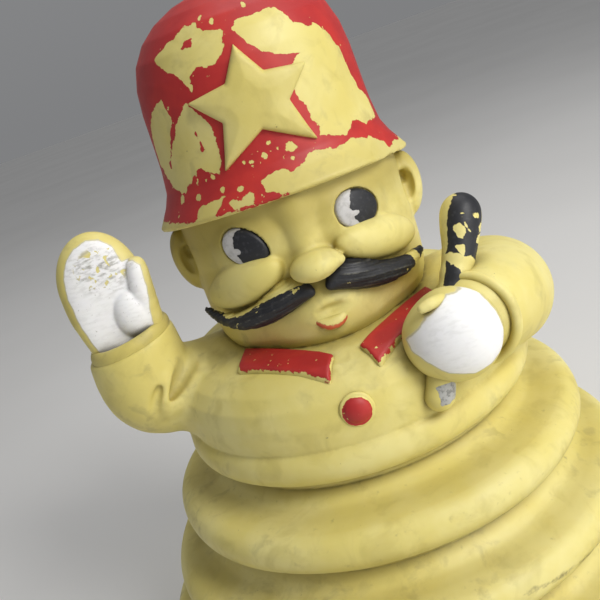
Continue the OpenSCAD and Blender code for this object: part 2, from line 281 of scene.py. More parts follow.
def sculpt(name, field, low, high, step, material, slot, replaces, masks=None):
    """A piece of the figure sculpted from a field. A mask is a function of the points."""
    points, faces = surface(field, low, high, step * COARSE)
    piece = new_mesh(name, points, faces, material, "figure")
    for mask_name, mask in (masks or {}).items():
        keep_mask(piece, mask_name, np.broadcast_to(mask(tuple(points.T)), len(points)))
    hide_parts(*replaces)


# ---- Materials ----


class Paint:
    """A material's node tree, built one node at a time."""

    def __init__(self, name):
        self.material = bpy.data.materials.new(name)
        self.material.use_nodes = True
        self.tree = self.material.node_tree
        self.shader = self.tree.nodes["Principled BSDF"]
        self.place = self.node("ShaderNodeTexCoord").outputs["Object"]

    def node(self, kind, inputs=None, **settings):
        made = self.tree.nodes.new(kind)
        for key, value in settings.items():
            setattr(made, key, value)
        self.fill(made, inputs or {})
        return made

    def fill(self, made, inputs):
        for key, value in inputs.items():
            if isinstance(value, bpy.types.NodeSocket):
                self.tree.links.new(value, made.inputs[key])
            else:
                made.inputs[key].default_value = value

    def noise(self, size_mm, detail=3.0, distortion=0.0, roughness=0.55):
        inputs = {"Vector": self.place, "Scale": 1 / (size_mm * MM), "Detail": detail}
        inputs |= {"Distortion": distortion, "Roughness": roughness}
        return self.node("ShaderNodeTexNoise", inputs).outputs["Fac"]

    def streaks(self, stretch, scale, detail, turn=(0, 0, 0)):
        """Noise drawn out into lines."""
        inputs = {"Vector": self.place, "Rotation": turn, "Scale": stretch}
        drawn = self.node("ShaderNodeMapping", inputs).outputs[0]
        inputs = {"Vector": drawn, "Scale": scale, "Detail": detail}
        return self.node("ShaderNodeTexNoise", inputs).outputs["Fac"]

    def math(self, operation, a, b=0.0, clamp=False):
        return self.node("ShaderNodeMath", {0: a, 1: b}, operation=operation, use_clamp=clamp).outputs[0]

    def times(self, a, b, clamp=False):
        return self.math("MULTIPLY", a, b, clamp)

    def plus(self, a, b):
        return self.math("ADD", a, b)

    def rest_of(self, value):
        return self.math("SUBTRACT", 1.0, value)

    def step(self, value, low, high):
        """0 below low, 1 above high, and smooth between them."""
        inputs = {"Value": value, "From Min": low, "From Max": high}
        return self.node("ShaderNodeMapRange", inputs, interpolation_type="SMOOTHSTEP").outputs[0]

    def patches(self, low, high, *noise):
        """Cloudy patches of noise, with the same limits as a step."""
        return self.step(self.noise(*noise), low, high)

    def mix(self, share, a, b):
        made = self.node("ShaderNodeMix", data_type="RGBA")
        self.fill(made, {0: share, 6: a, 7: b})
        return made.outputs[2]

    def value(self, name):
        return self.node("ShaderNodeAttribute", attribute_name=name).outputs["Fac"]

    def recess(self, reach_mm):
        """1 in the open, towards 0 deep in a crease."""
        made = self.node("ShaderNodeAmbientOcclusion", {"Distance": reach_mm * MM}, samples=8)
        return made.outputs["AO"]

    def bump(self, height, distance_mm, strength):
        inputs = {"Height": height, "Distance": distance_mm * MM, "Strength": strength}
        self.fill(self.shader, {"Normal": self.node("ShaderNodeBump", inputs).outputs[0]})

    def finish(self, **inputs):
        self.fill(self.shader, {key.replace("_", " "): value for key, value in inputs.items()})
        return self.material

    def soft_finish(self, tint, rough, glow, depth_mm, specular):
        """Vinyl, bare or painted, that lets a little light in."""
        self.fill(self.shader, {"Subsurface Weight": glow, "Subsurface Scale": depth_mm * MM})
        self.fill(self.shader, {"Subsurface Radius": (1.0, 0.75, 0.25), "Specular IOR Level": specular})
        return self.finish(Base_Color=tint, Roughness=rough)


def colour(red, green, blue):
    return (red, green, blue, 1.0)


VINYL = colour(0.735, 0.63, 0.19)
VINYL_PALE = colour(0.8, 0.715, 0.29)
VINYL_OLIVE = colour(0.43, 0.345, 0.08)
GRIME = colour(0.15, 0.115, 0.045)


def vinyl_colour(paint, dirt_and_shade=1.0, shade=None):
    """Aged vinyl: cloudy, with painted shade in its creases and where shade is 1, patchy grime deep in its
    tightest creases, and small dark pits and smudges.
    """
    clouds = paint.patches(0.35, 0.68, 24, 4)
    tint = paint.mix(clouds, VINYL, VINYL_PALE)
    haze = paint.patches(0.5, 0.72, 9, 5, 0.6)
    tint = paint.mix(paint.times(haze, 0.3), tint, VINYL_OLIVE)
    if shade is None:
        # Painted shade: darker in creases, as ambient occlusion finds them, and where the piece's mask of
        # dirt and painted shade is high.
        shade = paint.rest_of(paint.step(paint.recess(7), 0.35, 0.92))
        shade = paint.math("MAXIMUM", shade, paint.value("dirt_and_painted_shade"))
    tint = paint.mix(paint.times(shade, 0.85 * dirt_and_shade, clamp=True), tint, VINYL_OLIVE)
    smudge = paint.times(paint.patches(0.52, 0.68, 6, 5, 0.4), paint.patches(0.45, 0.6, 30, 2))
    tint = paint.mix(paint.times(smudge, 0.22 * dirt_and_shade), tint, GRIME)
    deep = paint.rest_of(paint.step(paint.recess(1.6), 0.3, 0.8))
    worn = paint.times(deep, paint.patches(0.38, 0.6, 3.5, 4))
    tint = paint.mix(paint.times(worn, 0.6 * dirt_and_shade, clamp=True), tint, GRIME)
    pits = paint.patches(0.735, 0.785, 0.85, 2)
    where = paint.patches(0.46, 0.62, 14, 3)
    pits = paint.times(pits, where)
    return paint.mix(paint.times(pits, 0.75 * dirt_and_shade), tint, GRIME)


def vinyl_finish(paint, tint):
    rough = paint.plus(0.45, paint.times(paint.noise(5, 3), 0.14))
    height = paint.plus(paint.noise(2.4, 4), paint.times(paint.noise(0.5, 2), 0.25))
    paint.bump(height, 0.1, 0.55)
    return paint.soft_finish(tint, rough, 0.1, 1.6, 0.42)


def make_vinyl():
    paint = Paint("aged_vinyl")
    return vinyl_finish(paint, vinyl_colour(paint))


def make_bellows_vinyl():
    """Dirt and painted shade on each fold's shelf, and painted shade in its groove and under its bead. One
    crest is scuffed.
    """
    paint = Paint("bellows_vinyl")
    patchy = paint.plus(0.6, paint.times(paint.noise(9, 4), 0.75))
    tint = vinyl_colour(paint, 1.0, paint.times(paint.value("shelf"), patchy, clamp=True))
    broken = paint.math("SUBTRACT", paint.times(paint.noise(2.2, 5), 3.4), 2.1)
    scuff = paint.step(paint.plus(paint.value("scuff"), broken), 0.0, 1.2)
    return vinyl_finish(paint, paint.mix(paint.times(scuff, 0.75), tint, GRIME))


def paint_over(paint, tint, coat, cover, film_mm=0.06):
    """Paint on the vinyl where cover is 1, a little proud of it, with a tide line at its edge."""
    edge = paint.times(paint.step(cover, 0.02, 0.5), paint.rest_of(paint.step(cover, 0.5, 0.98)))
    painted = paint.mix(cover, tint, coat)
    painted = paint.mix(paint.times(edge, 0.35), painted, GRIME)
    rough = paint.plus(0.4, paint.times(paint.noise(4, 3), 0.18))
    height = paint.plus(paint.times(cover, film_mm / 0.1), paint.times(paint.noise(2.4, 4), 0.55))
    paint.bump(height, 0.1, 0.8)
    return paint.soft_finish(painted, rough, 0.06, 1.2, 0.45)


def ragged(paint, size_mm, spread, soft=0.05):
    """The piece's paint mask, in millimetres and positive inside, with an edge that wanders by noise."""
    wander = paint.times(paint.math("SUBTRACT", paint.noise(size_mm, 5), 0.5), 2 * spread)
    return paint.step(paint.plus(paint.value("paint"), wander), -soft, soft)


RED = colour(0.43, 0.022, 0.022)
RED_BRIGHT = colour(0.52, 0.03, 0.024)
BLACK = colour(0.016, 0.017, 0.021)
WHITE = colour(0.94, 0.94, 0.94)
SILVER = colour(0.42, 0.42, 0.4)


def make_hat_paint():
    """Red, worn through to the vinyl in patches, in specks between them, and along the rim."""
    paint = Paint("hat_paint")
    tint = vinyl_colour(paint, 0.8)
    red = paint.mix(paint.patches(0.4, 0.65, 12, 3), RED, RED_BRIGHT)
    kept = ragged(paint, 2.4, 1.3, 0.05)
    specks = paint.rest_of(paint.patches(0.7, 0.715, 1.5, 2, 0.3))
    near = paint.step(paint.plus(paint.value("paint"), paint.times(paint.noise(7, 3), 4.0)), 3.4, 4.2)
    specks = paint.math("MAXIMUM", specks, near)
    return paint_over(paint, tint, red, paint.times(kept, specks))


def make_red_paint():
    paint = Paint("red_paint")
    tint = vinyl_colour(paint, 0.8)
    red = paint.mix(paint.patches(0.4, 0.65, 10, 3), RED, RED_BRIGHT)
    kept = ragged(paint, 1.6, 0.55)
    nicks = paint.rest_of(paint.patches(0.7, 0.715, 1.3, 2, 0.4))
    return paint_over(paint, tint, red, paint.times(kept, nicks))


def make_lip_paint():
    """What is left of the orange-red paint of the lip."""
    paint = Paint("lip_paint")
    tint = vinyl_colour(paint)
    return paint_over(paint, tint, colour(0.62, 0.12, 0.05), ragged(paint, 1.4, 0.9, 0.2))


def make_black_paint(name="black_paint", chip_size=3.4, chips=0.6, edge=0.9):
    paint = Paint(name)
    tint = vinyl_colour(paint)
    dusty = paint.patches(0.52, 0.75, 1.1, 4)
    black = paint.mix(paint.times(dusty, 0.2), BLACK, colour(0.1, 0.1, 0.105))
    kept = ragged(paint, 2.2, edge)
    rubbed = paint.times(paint.value("rubbed"), paint.patches(0.42, 0.62, 2.6, 3))
    black = paint.mix(paint.times(rubbed, 0.8, clamp=True), black, colour(0.15, 0.145, 0.12))
    whole = paint.rest_of(paint.step(paint.noise(chip_size, 3, 0.5), chips, chips + 0.012))
    return paint_over(paint, tint, black, paint.times(kept, whole))


def make_white_paint(name, wear):
    """White with grey rubs, small bare flecks and painted shade in its creases. Wear is 1 for the palm, and
    less for the fist.
    """
    paint = Paint(name)
    tint = vinyl_colour(paint)
    lines = paint.streaks((0.5, 1, 1.4), 900.0, 8.0, (0, 0.5, 0))
    worn = paint.value("worn")
    rub = paint.times(paint.step(lines, 0.42, 0.66), paint.patches(0.3, 0.6, 5, 4))
    rub = paint.times(rub, paint.plus(worn, 0.12))
    white = paint.mix(paint.times(rub, 0.85, clamp=True), WHITE, colour(0.24, 0.23, 0.2))
    specks = paint.patches(0.68, 0.74, 0.7, 2, 0.4)
    white = paint.mix(paint.times(specks, 0.5 * wear), white, colour(0.3, 0.29, 0.26))
    # Painted shade: the hand's creases darken towards grey-brown.
    shade = paint.rest_of(paint.step(paint.recess(3.2), 0.4, 0.9))
    white = paint.mix(paint.times(shade, 0.85), white, colour(0.16, 0.15, 0.13))
    kept = ragged(paint, 3.0, 0.35, 0.3)
    flecks = paint.times(paint.patches(0.585, 0.61, 2.2, 3, 0.7), paint.step(worn, 0.3, 0.6))
    return paint_over(paint, tint, white, paint.times(kept, paint.rest_of(flecks)))


def make_eye_paint():
    """White eye with a black pupil that has worn away on one side."""
    paint = Paint("eye_paint")
    grey = paint.patches(0.42, 0.68, 1.2, 5, 0.4)
    white = paint.mix(paint.times(grey, 0.35), colour(0.56, 0.55, 0.54), colour(0.26, 0.25, 0.23))
    black = paint.mix(paint.times(paint.patches(0.5, 0.75, 0.9, 4), 0.25), BLACK, colour(0.12, 0.12, 0.13))
    return paint_over(paint, white, black, ragged(paint, 1.5, 0.7, 0.06), 0.03)


def make_silver_paint():
    paint = Paint("silver_paint")
    tint = vinyl_colour(paint, 1.2)
    scuff = paint.patches(0.45, 0.66, 1.0, 4)
    silver = paint.mix(paint.times(scuff, 0.6), SILVER, colour(0.1, 0.1, 0.09))
    return paint_over(paint, tint, silver, ragged(paint, 1.8, 0.8))


def make_metal(name, base, rough):
    """Thin pressed sheet metal with fine rolling lines."""
    paint = Paint(name)
    lines = paint.streaks((1, 14, 1), 900.0, 3.0)
    dull = paint.patches(0.35, 0.7, 4, 3)
    tint = paint.mix(paint.times(dull, 0.4), base, colour(*(0.6 * c for c in base[:3])))
    paint.bump(lines, 0.02, 0.4)
    roughness = paint.plus(rough, paint.times(dull, 0.2))
    return paint.finish(Base_Color=tint, Metallic=1.0, Roughness=roughness)


vinyl = make_vinyl()
bellows_vinyl = make_bellows_vinyl()
hat_paint = make_hat_paint()
red_paint = make_red_paint()
moustache_paint = make_black_paint("moustache_paint", 2.6, 0.7, 0.7)
baton_paint = make_black_paint("baton_paint", 5.0, 0.6, 0.9)
palm_white = make_white_paint("palm_white", 1.0)
fist_white = make_white_paint("fist_white", 0.12)
eye_paint = make_eye_paint()
silver_paint = make_silver_paint()
lip_paint = make_lip_paint()
aluminium = make_metal("pressed_aluminium", colour(0.72, 0.72, 0.72), 0.32)
brass = make_metal("thin_brass", colour(0.72, 0.52, 0.22), 0.3)


# ---- Bellows: one closed wall from each fold's underside up to the next one ----

WALL = 2.0
BEAD_NODES = ["hem_roll", "fold_1_crest", "fold_2_crest", "fold_3_crest", "foot_and_floor"]
BEAD_RADII = [5.5, 5.5, 5.5, 5.5, 4.5]
BEAD_R = BEAD_RADII[0]


def arc(centre, radius, start, end, steps):
    angles = np.radians(np.linspace(start, end, steps))
    return [(centre[0] + radius * math.cos(a), centre[1] + radius * math.sin(a)) for a in angles]


def bead_centre(level):
    """Middle of the round bead at a fold: 0 is the hem roll, 4 the foot's edge."""
    node, radius = BEAD_NODES[level], BEAD_RADII[level]
    return np.array([half_size(node)[0] - radius, bottom_of(node) + radius])


def offset_line(points, distance):
    """The line moved sideways by a distance, to the left of its direction."""
    points = np.array(points, float)
    way = np.gradient(points, axis=0)
    side = np.stack([-way[:, 1], way[:, 0]], 1) / np.linalg.norm(way, axis=1)[:, None]
    return points + side * distance


def valley_line(level):
    """The outside of a bead and the valley above it: nearly flat first, then steep under the next bead."""
    low, high = bead_centre(level), bead_centre(level - 1)
    under = high[1] - BEAD_R
    bead_r = BEAD_RADII[level]
    shelf_slope, rise = SHELVES[level]
    lean = 90 - shelf_slope
    line = arc(low, bead_r, -88 if level < 4 else 10, lean - 8, 24 if level < 4 else 8)
    start = low + bead_r * np.array([math.cos(math.radians(lean)), math.sin(math.radians(lean))])
    root = np.array([ROOTS[level], under - ROOT_DROP[level]])
    down = math.tan(math.radians(shelf_slope))
    steep = math.tan(math.radians(rise))
    knee_r = (root[1] - start[1] - down * start[0] + steep * root[0]) / (steep - down)
    knee = np.array([knee_r, start[1] + down * (start[0] - knee_r)])
    before, after = start * 0.3 + knee * 0.7, knee * 0.62 + root * 0.38
    bend = before * 0.27 + knee * 0.46 + after * 0.27
    tuck = [(root[0] - 0.55, root[1] + 0.8), (root[0] + 0.1, under - 0.5), (root[0] + 1.6, under - 0.12)]
    shelf, wall = start * 0.6 + knee * 0.4, knee * 0.25 + root * 0.75
    points = [line[-1], start, shelf, before, bend, after, wall, root, *tuck]
    smooth = curve_points([(*q, 0) for q in [*points, (high[0], under)]], 6)[1:, :2]
    return np.array([*line, *smooth])


# Each valley's shelf slope and its steep part's slope, in degrees.
SHELVES = {1: (11, 40), 2: (16, 55), 3: (16, 55), 4: (36, 75)}
ROOTS = {1: 43.1, 2: 53.0, 3: 61.0, 4: 63.0}
ROOT_DROP = {1: 1.9, 2: 1.4, 3: 1.4, 4: 1.9}
TURN_STEPS = 300
FOLD_2_R = half_size("fold_2_crest")[0]
# The scuff on the second fold: the height and the turn from the front, in degrees, of its upper end.
SCUFF_Z = 40.8
SCUFF_TURN = 19


def uneven(points):
    """Soft vinyl is never quite round: a slow wander of a few tenths of a millimetre."""
    x, y, z = points.T
    angle = np.arctan2(y, x)
    waves = [(0.22, 2, 0.07), (0.12, 5, -0.11), (0.06, 9, 0.2)]
    wander = sum(size * np.sin(lobes * angle + twist * z) for size, lobes, twist in waves)
    out = np.stack([np.cos(angle), np.sin(angle), 0 * z], 1)
    fade = np.clip(z / 10, 0, 1)
    return points + out * (wander * fade)[:, None]


def revolve(line):
    """A closed outline turned about Z, as points and faces."""
    line = np.array(line, float)
    n, m = len(line), TURN_STEPS
    angles = 2 * math.pi * np.arange(m) / m
    x, y = np.outer(np.cos(angles), line[:, 0]), np.outer(np.sin(angles), line[:, 0])
    points = np.stack([x, y, np.broadcast_to(line[:, 1], (m, n))], 2).reshape(-1, 3)
    faces = [
        (i * n + j, ((i + 1) % m) * n + j, ((i + 1) % m) * n + (j + 1) % n, i * n + (j + 1) % n)
        for i in range(m)
        for j in range(n)
    ]
    return points, faces


def shelf_dirt_and_shade(level, outside):
    """How dark each point of a valley's outline is painted: dirt and painted shade on its shelf, painted
    shade most at its root and in its groove, and painted shade under its bead.
    """
    low, high = bead_centre(level), bead_centre(level - 1)
    r, z = outside.T
    shelf_slope, rise = (math.radians(a) for a in SHELVES[level])
    bead_r = BEAD_RADII[level]
    start = low + bead_r * np.array([math.sin(shelf_slope), math.cos(shelf_slope)])
    root = np.array([ROOTS[level], high[1] - BEAD_R - ROOT_DROP[level]])
    down, steep = math.tan(shelf_slope), math.tan(rise)
    knee_r = (root[1] - start[1] - down * start[0] + steep * root[0]) / (steep - down)
    along = np.where(r > knee_r, (start[0] - r) / (start[0] - knee_r), 1 + (knee_r - r) / (knee_r - root[0]))
    # Painted shade and dirt along the outline: lightest at the knee, some on the shelf, most at the root.
    amounts = [0, 0.3, 0.45, 0.3, 0.05, 0, 0.55, 1]
    dirt_and_shade = np.interp(along, [-0.3, 0.1, 0.5, 0.85, 1, 1.35, 1.75, 2], amounts)
    groove = np.clip((z - root[1]) / 0.7, 0, 1)
    under = 0.5 * np.clip((low[1] - z) / 4.5, 0, 1)
    return np.where(z < low[1], under, np.maximum(dirt_and_shade, groove))


def make_valley(level):
    outside = valley_line(level)
    inside = offset_line(outside, WALL)[::-1]
    points, faces = revolve([*outside, *inside])
    name = f"bellows_fold_{level}" if level < 4 else "bellows_foot"
    piece = new_mesh(name, uneven(points), faces, bellows_vinyl, None)
    # Dirt and painted shade for each point, from the valley's outline. The inside stays clean.
    dirt_and_shade = np.tile(np.concatenate([shelf_dirt_and_shade(level, outside), np.zeros(len(inside))]), TURN_STEPS)
    keep_mask(piece, "shelf", dirt_and_shade)
    x, y, z = points.T
    turn = np.degrees(np.arctan2(x, -y))
    band = np.abs(z - SCUFF_Z + 0.19 * (turn - SCUFF_TURN))
    scuff = 1.3 - band - np.clip(np.abs(turn - SCUFF_TURN - 10) - 11, 0, None)
    on_crest = length(x, y) > FOLD_2_R - 3
    keep_mask(piece, "scuff", np.clip(scuff if level == 2 else scuff - 99, -9, 9) * on_crest)
    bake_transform(piece)
    nodes = [f"valley_{level}_groove", f"valley_{level}_slope"]
    if level < 4:
        nodes.append(f"fold_{level}_crest")
    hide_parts(*nodes)


# ---- Coat and sleeves ----

SHOULDER_TOP = COAT_TOP + 0.2
# The coat's side above its hem roll: how far in from the hem's radius, and how far up.
COAT_SIDE = [(2.15, 9.75), (1.75, 10.5), (1.45, 13), (1.6, 17), (2.6, 21), (5, 24.6), (8.8, 27.4)]
COAT_OUTLINE = [
    (0, HEM_Z),
    (HEM_R - BEAD_R, HEM_Z),
    *arc((HEM_R - BEAD_R, HEM_Z + BEAD_R), BEAD_R, -80, 44, 12),
    *((HEM_R - inwards, HEM_Z + up) for inwards, up in COAT_SIDE),
    (HEM_R - 13.6, SHOULDER_TOP - 0.9),
    (HEM_R - 19.5, SHOULDER_TOP),
    (0, SHOULDER_TOP),
]
coat_body = lathe(COAT_OUTLINE)

RAISED_ARM = [(-30, -4, 93), (-44, -5.5, 93.8), (-52.6, -7.6, 97), (-54, -9.4, 104), (-53.2, -10.4, 112)]
RAISED_RADII = [10.5, 11.0, 12.2, 12.0, 11.5]
CUFF = (-52.9, -10.4, 113.2)
CUFF_RISE = 0.144
BENT_ARM = [(34, 0, 92), (42.8, -5.0, 91.8), (43.6, -15, 93.2), (38.6, -28, 96.6), (32.5, -36.5, 98.6)]
BENT_RADII = [12.0, 13.6, 13.6, 12.0, 10.8]


def coat_field(p):
    """Coat, hem roll and both sleeves, with the folds at the raised elbow."""
    field = coat_body(p)
    raised = limb(p, RAISED_ARM, RAISED_RADII, 3, 2.0)
    raised = both(raised, p[2] - CUFF[2] + 0.6 - CUFF_RISE * (p[0] - CUFF[0]), 1.2)
    field = join(field, raised, 5.0)
    bent = limb(p, BENT_ARM, BENT_RADII, 3, 2.0)
    field = join(field, bent, 3.0)
    fold = limb(p, [(-47.2, -18.2, 102.5), (-49.6, -19, 98), (-50, -18, 94.2)], [1.6, 1.9, 1.4])
    lower_fold = limb(p, [(-50, -18, 94.2), (-46.5, -17.6, 94.8), (-38, -14.6, 100.2)], [1.4, 1.8, 1.6])
    field = join(field, join(fold, lower_fold, 1.5), 2.2)
    crease = limb(p, [(-40, -15.6, 103.6), (-44, -17.6, 100), (-47.6, -18.6, 97)], [2.0, 1.7, 0.8])
    small_crease = limb(p, [(-49, -20.2, 101), (-51, -20.8, 98), (-52.6, -20.9, 95)], [0.5, 0.7, 0.4])
    field = cut(cut(field, crease, 2.0), small_crease, 2.2)
    lapel = limb(p, [(-3.4, -40.6, 98.6), (-1.8, -44.6, 94.6)], [0.5, 0.35])
    lapel = join(lapel, limb(p, [(5.8, -40.4, 98.4), (1.4, -44.8, 94.4)], [0.5, 0.35]), 0.4)
    return join(field, lapel, 1.6)


# ---- Head ----

FACE_X, FACE_Y = HEAD[0], -1.0
HEAD_TOP = top_of("head")
HEAD_LOW = bottom_of("head")
# The head's side from its underside up: radius, and height above the underside.
HEAD_SIDE = [(0, 0), (21.5, 0.3), (25.8, 1.6), (28.3, 3.8), (29.5, 6.6), (30.1, 10), (30.4, 15), (30.4, 22)]
HEAD_SIDE += [(30.2, 30), (30, 37)]
head_body = lathe(
    [*((radius, HEAD_LOW + up) for radius, up in HEAD_SIDE), (29.8, HEAD_TOP), (0, HEAD_TOP)]
)
EYE_Z = middle("eye_left")[2] - 0.1
EYE_ANGLES = {-1: -26.6, 1: 27.8}
EYE_SLANTS = {-1: 0.24, 1: 0.08}


def on_face(angle, radius, z):
    """A place at an angle from the face's middle, positive to the figure's left."""
    a = math.radians(angle)
    return np.array([FACE_X + radius * math.sin(a), FACE_Y - radius * math.cos(a), z])


def eye_place(p, side):
    """Distance across and up from an eye's middle, along the face. The eyes slant down to one side."""
    c = on_face(EYE_ANGLES[side], 32.0, EYE_Z)
    a = math.radians(EYE_ANGLES[side])
    across = (p[0] - c[0]) * math.cos(a) + (p[1] - c[1]) * math.sin(a)
    return across, p[2] - c[2] + EYE_SLANTS[side] * across


def eye_outline(p, side):
    across, up = eye_place(p, side)
    return (length(across / 5.8, up / 4.8) - 1) * 5.0


def brow_field(p):
    """Head, bridge of the nose and the mounds that hold the eyes."""
    field = head_body(p, FACE_X, FACE_Y)
    field = join(field, egg(p, on_face(1, 22.5, 104.8), (13, 9.0, 5.6)), 4.0)
    field = join(field, egg(p, on_face(1.5, 25.6, 110.6), (9.5, 7.6, 6.6)), 4.0)
    bridge = limb(p, [on_face(0, 26.0, 138), on_face(0, 27.2, 132), on_face(0.5, 28.4, 127)], [5.2, 4.6, 3.8])
    field = join(field, bridge, 2.2)
    for side in (-1, 1):
        mound = egg(p, on_face(EYE_ANGLES[side], 26.4, EYE_Z - 0.6), (11.2, 5.6, 8.8), turn=EYE_ANGLES[side])
        field = join(field, mound, 0.9)
    return field


def forehead_dirt_and_shadow(p):
    """Painted shadow of the hat's rim on the forehead, with dirt there too, and painted shade on the figure's
    right temple.
    """
    return np.clip((p[2] - 126) / 8, 0, 0.95) + np.clip((-14 - p[0]) / 22, 0, 0.5)


def eye_field(side):
    """An eye, almost flush with its mound."""

    def field(p):
        brow = brow_field(p)
        front = both(eye_outline(p, side), brow - 0.25, 0.8)
        return both(front, -brow - 1.6)

    return field


def head_field(p):
    """The whole head, with a narrow groove round each eye."""
    brow = brow_field(p)
    field = brow
    for side in (-1, 1):
        groove = both(eye_outline(p, side) - 0.3, -(brow + 0.9))
        field = cut(field, np.where(p[1] < 0, groove, 9.0), 0.2)
    for side in (-1, 1):
        cheek = egg(p, on_face(side * 35, 29.5, 121.6), (12.6, 5.2, 5.5), turn=side * 35, tilt=side * 15)
        field = join(field, cheek, 0.9)
        ear = egg(p, on_face(side * 90, 30.4, 126.4) + [0, 0.4, 0], (5.0, 6.2, 9.2), tilt=side * 6)
        field = join(field, ear, 1.0)
        concha = egg(p, on_face(side * 90, 30.9, 127.6) + [0, -6.6, 0], (2.2, 3.6, 5.0), tilt=side * 6)
        pit = egg(p, on_face(side * 90, 30.2, 129.0) + [0, -4.6, 0], (1.5, 3.0, 2.2))
        field = cut(cut(field, concha, 0.9), pit, 0.5)
    field = join(field, egg(p, on_face(1.0, 33.4, 122.4), (6.2, 6.0, 3.6), tilt=-3), 1.5)
    wing = egg(p, on_face(10.0, 33.8, 121.8), (2.0, 2.4, 1.2))
    field = join(field, wing, 1.2)
    return cut(field, egg(p, on_face(2.2, 34.6, 110.6), (4.4, 3.0, 1.5)), 1.5)


def lip_field(p):
    """The lower lip, a curved roll under the mouth."""
    rows = [(-7, 31.4, 109.2), (-2.5, 32.4, 107.4), (3, 32.4, 107.3), (8, 31.4, 109)]
    return limb(p, [on_face(*row) for row in rows], [0.6, 1.6, 1.6, 0.6], 3, 0.5)


def lip_mask(p):
    """A thin line of red at the bottom of the lip's front."""
    return 0.6 - np.abs(p[2] - 106.4 - 0.09 * (p[0] - 0.3) ** 2)


def moustache_line(side):
    """Middle of half a moustache: angle from the face's middle, height and radius."""
    rows = [(4, 116.4, 0.9), (8, 117, 2.4), (14, 116.8, 3.5)]
    rows += [(20, 115.4, 3.5), (30, 113.4, 2.8), (41, 112.6, 2.1)]
    rows += [(49, 113.2, 1.3), (53, 113.9, 0.6)] if side > 0 else [(52, 113.8, 1.3), (60, 116.2, 0.6)]
    return [on_face(side * angle, 34.4 - 0.9 * r, z) for angle, z, r in rows], [r for _, _, r in rows]


def hair_strands(p, side):
    """Combed strands, 1 on their ridges and -1 between them, that fade out towards the nose."""
    along = side * np.degrees(np.arctan2(p[0] - FACE_X, FACE_Y - p[1]))
    sweep = p[2] + 0.17 * along + 0.5 * np.sin(0.11 * along)
    strand = 0.5 * np.sin(3.4 * sweep + 0.9 * np.sin(0.16 * along)) + 0.5 * np.sin(8.3 * sweep + 1.3)
    return strand * np.clip((along - 4) / 8, 0, 1)


def rubbed_strands(side):
    return lambda p: np.clip(1.6 * hair_strands(p, side) - 0.6, 0, 1)


def moustache_field(side):
    """Half of the moustache, combed from its middle outwards."""
    path, radii = moustache_line(side)

    def field(p):
        return limb(p, path, radii, 3, 0.8) - 0.13 * hair_strands(p, side)

    return field


def moustache_mask(side):
    """The figure's left half has a bare gap near its tip, and the right half is bare along its top."""

    def mask(p):
        along = side * np.degrees(np.arctan2(p[0] - FACE_X, FACE_Y - p[1]))
        if side > 0:
            return np.minimum(np.maximum((44 - along) * 0.45, (along - 48.5) * 0.5), 9.0)
        top = np.interp(along, [0, 8, 16, 26, 36, 46, 60], [118.6, 118.9, 118.2, 116.6, 114.6, 114.0, 117])
        return top - p[2] + 0.2

    return mask


# ---- Hat ----

# The hat's side from its top down: radius, and depth below the top. Then its rim: how far in, and how far up.
HAT_SIDE = [(0, 0), (6, 0.4), (12, 1.8), (17.6, 4.3), (22, 7.7), (25.4, 12.2), (27.3, 17.7), (28.1, 23.7)]
HAT_SIDE += [(28.5, 31.7), (28.9, 37.7), (29.8, 43.2), (31.4, 46.4)]
RIM_SIDE = [(1, 2.2), (0.1, 0.9), (0.3, 0.1), (1.4, -0.2), (3.6, 0.5)]
HAT_OUTLINE = [(radius, HAT_TOP - down) for radius, down in HAT_SIDE]
HAT_OUTLINE += [(RIM_R - inwards, RIM_Z + up) for inwards, up in RIM_SIDE]
HAT_OUTLINE += [(27, RIM_Z + 3), (0, RIM_Z + 3)]
hat_body = lathe(HAT_OUTLINE)
HAT_BODY_R = 28.5  # the hat is unrolled at this radius to place its star and its worn paint
# The star's points and inner corners from the top round: across the hat, and up.
STAR = [(0, 13.9), (4.8, 6.3), (15.5, 4.8), (8.3, -1.9), (11.5, -12.8), (0, -6.2)]
STAR_Z = top_of("hat_star") - STAR[0][1] + 0.9
STAR = STAR + [(-x, z) for x, z in STAR[4:0:-1]]


def hat_field(p):
    """The hat, pulled down a little at its sides and back, with a small flat on the figure's left."""
    droop = 0.12 * (np.minimum(p[1], 4) + 17) * np.clip((160 - p[2]) / 22, 0, 1)
    field = hat_body((p[0], p[1], p[2] + droop), HAT_X)
    flat = (p[0] - HAT_X) * math.sin(math.radians(61)) - p[1] * math.cos(math.radians(61)) - 27.75
    flat = flat - 0.01 * (p[2] - 161) ** 2
    return both(field, flat)


def around_hat(p):
    """Distance along the hat from its front, in millimetres, and the angle in degrees."""
    angle = np.arctan2(p[0] - HAT_X, -p[1])
    return angle * HAT_BODY_R, np.degrees(angle)


def star_field(p):
    """A puffy five-pointed star that lies on the front of the hat."""
    across, _ = around_hat(p)
    star = polygon_distance(across, p[2] - STAR_Z, STAR) + 0.15
    shell = hat_field(p)
    puffy = both(star, shell - 2.1 + 0.16 * np.clip(star + 4, 0, 4), 1.5)
    back = np.where(p[1] < 0, -shell - 1.2, 50)
    return both(puffy, back)


